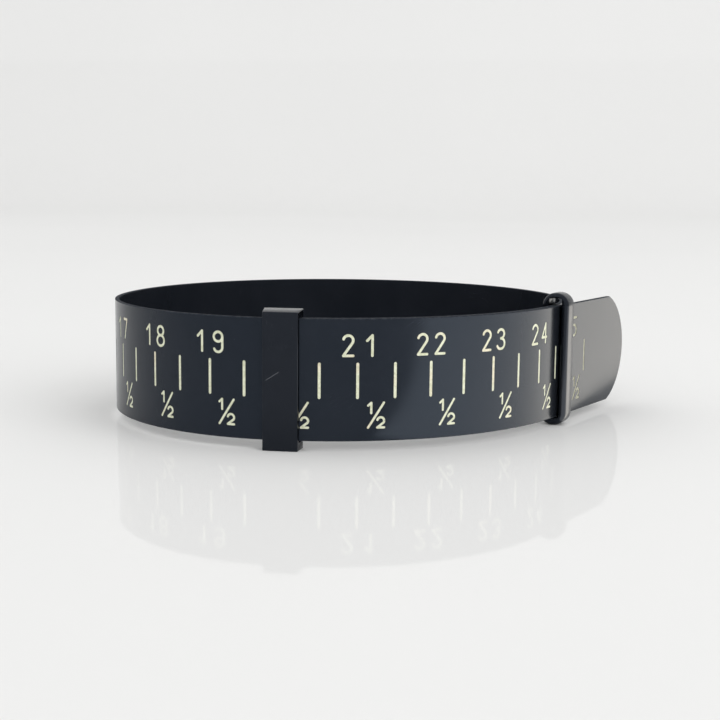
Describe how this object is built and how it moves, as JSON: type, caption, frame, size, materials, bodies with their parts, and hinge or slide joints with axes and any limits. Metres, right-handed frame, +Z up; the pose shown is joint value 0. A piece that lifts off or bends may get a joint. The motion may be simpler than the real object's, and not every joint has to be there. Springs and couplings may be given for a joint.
{
  "type": "bracelet sizing band",
  "caption": "Adjustable bracelet sizing band: a thin black plastic strip with an engraved centimetre scale, rolled into a loop and held by a fixed keeper and a sliding keeper.",
  "frame": {"origin": "on the surface the band stands on, under the middle of the fixed keeper, at the centre line of the strip's outer layer", "axes": "+Z up, across the strip's width; +X along the scale under the fixed keeper, towards larger sizes; -Y out of the loop, the way the scale faces there"},
  "size_m": [0.0765, 0.0632, 0.0193],
  "materials": {
    "strip_plastic": "smooth gloss black with faint scuffs",
    "keeper_plastic": "polished black",
    "scale_paint": "matt pale cream-gold paint in the engraving"
  },
  "bodies": {
    "band": {"measuring_strip": "strip_plastic", "fixed_keeper": "keeper_plastic", "centimetre_lines": "scale_paint", "half_centimetre_lines": "scale_paint", "numeral_15": "scale_paint", "numeral_16": "scale_paint", "numeral_17": "scale_paint", "numeral_18": "scale_paint", "numeral_19": "scale_paint", "numeral_20": "scale_paint", "numeral_21": "scale_paint", "numeral_22": "scale_paint", "numeral_23": "scale_paint", "numeral_24": "scale_paint", "numeral_25": "scale_paint", "half_sign_15": "scale_paint", "half_sign_16": "scale_paint", "half_sign_17": "scale_paint", "half_sign_18": "scale_paint", "half_sign_19": "scale_paint", "half_sign_20": "scale_paint", "half_sign_21": "scale_paint", "half_sign_22": "scale_paint", "half_sign_23": "scale_paint", "half_sign_24": "scale_paint", "half_sign_25": "scale_paint"},
    "loose_keeper": {"loose_keeper": "keeper_plastic"}
  },
  "joints": [
    {"name": "loose_keeper_slide", "type": "hinge", "parent": "band", "child": "loose_keeper", "pos_m": [0, 0.0382, 0], "axis": [0, 0, 1], "range_deg": [-63.5, 0]}
  ]
}
